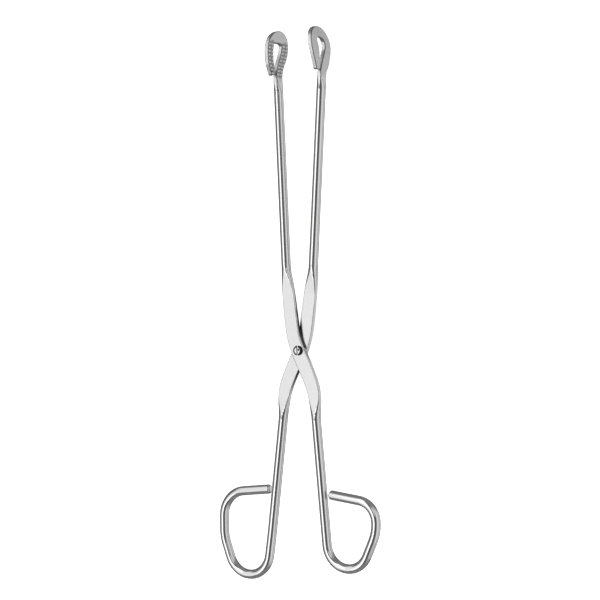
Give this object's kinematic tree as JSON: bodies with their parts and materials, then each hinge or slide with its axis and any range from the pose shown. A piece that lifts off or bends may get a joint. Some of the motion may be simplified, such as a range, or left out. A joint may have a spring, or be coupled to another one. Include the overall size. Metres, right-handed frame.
{
  "type": "grasping forceps",
  "caption": "Long two-arm grasping forceps of bent steel rod with screw pivot, open finger rings and toothed loop jaws.",
  "frame": {"origin": "on the screw axis, in the plane of the lap's back face", "axes": "+Z along the screw axis from the back to the screw head, +Y towards the jaws, +X towards the jaw of the rear arm"},
  "size_m": [0.0961, 0.2807, 0.0183],
  "materials": {
    "front_arm": "satin to bright polished stainless steel",
    "rear_arm": "satin to bright polished stainless steel",
    "pivot_screw": "bright turned stainless steel"
  },
  "bodies": {
    "rear": {"rear_arm": "rear_arm", "pivot_screw": "pivot_screw"},
    "front": {"front_arm": "front_arm"}
  },
  "joints": [
    {"name": "screw_pivot", "type": "hinge", "parent": "rear", "child": "front", "pos_m": [0, 0, 0], "axis": [0, 0, 1], "range_deg": [-7.2, 35]}
  ]
}
